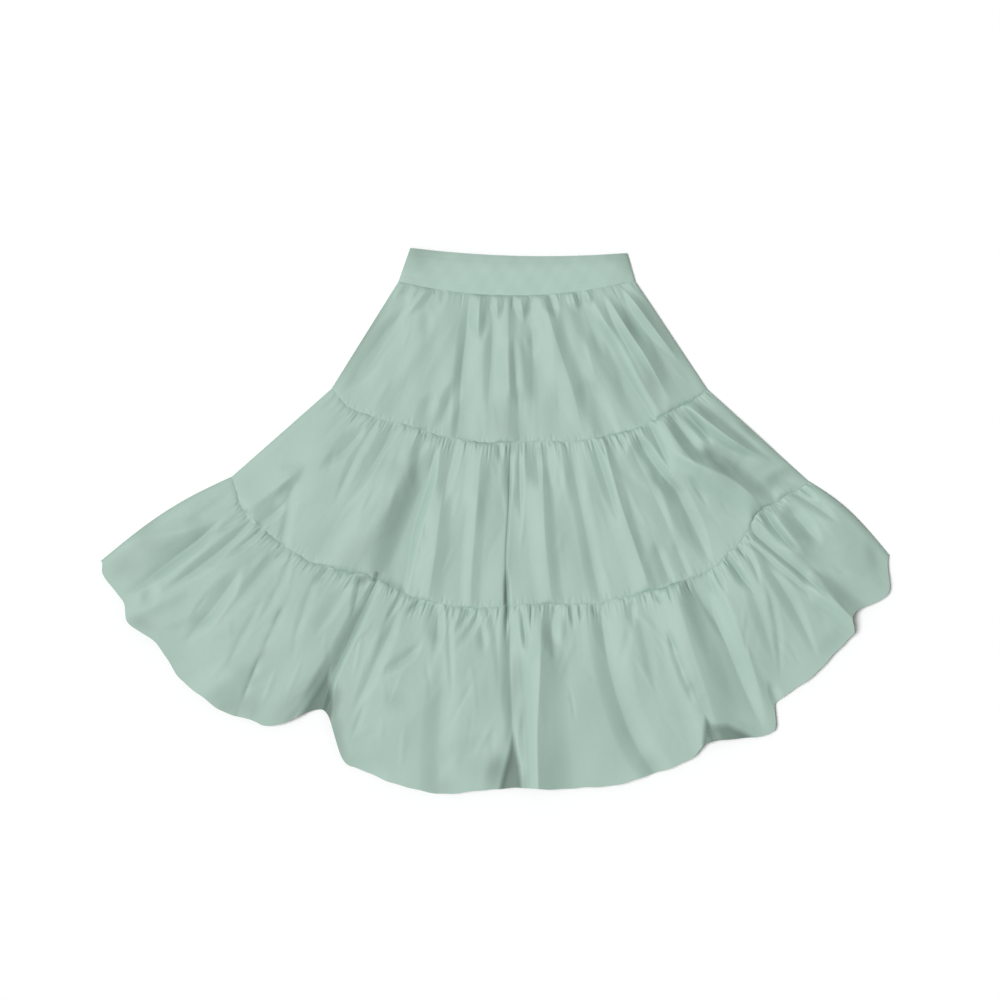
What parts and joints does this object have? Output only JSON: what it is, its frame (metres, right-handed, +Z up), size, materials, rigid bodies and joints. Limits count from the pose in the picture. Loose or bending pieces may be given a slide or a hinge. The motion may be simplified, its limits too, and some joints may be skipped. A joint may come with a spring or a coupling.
{
  "type": "tiered skirt",
  "caption": "Gathered tiered skirt laid flat, with a smooth waistband and three flaring tiers that widen into a full, rippling hem.",
  "frame": {"origin": "bottom centre of the part's box, on the surface that the skirt lies on", "axes": "+Y towards the waist, +Z up out of the skirt's front, +X towards the right of the picture"},
  "size_m": [1.2314, 0.8492, 0.0252],
  "materials": {
    "waistband_front_cloth": "pale green cotton sateen, smooth band",
    "waistband_back_cloth": "pale green cotton sateen over elastic",
    "tier_1_front_cloth": "pale green cotton sateen",
    "tier_1_back_cloth": "pale green cotton sateen",
    "tier_2_front_cloth": "pale green cotton sateen",
    "tier_2_back_cloth": "pale green cotton sateen",
    "tier_3_left_cloth": "pale green cotton sateen",
    "tier_3_centre_cloth": "pale green cotton sateen",
    "tier_3_right_cloth": "pale green cotton sateen"
  },
  "bodies": {
    "root": {"waistband_front": "waistband_front_cloth", "waistband_back": "waistband_back_cloth", "tier_1_front": "tier_1_front_cloth", "tier_1_back": "tier_1_back_cloth", "tier_2_front": "tier_2_front_cloth", "tier_2_back": "tier_2_back_cloth", "tier_3_left": "tier_3_left_cloth", "tier_3_centre": "tier_3_centre_cloth", "tier_3_right": "tier_3_right_cloth"}
  },
  "joints": []
}
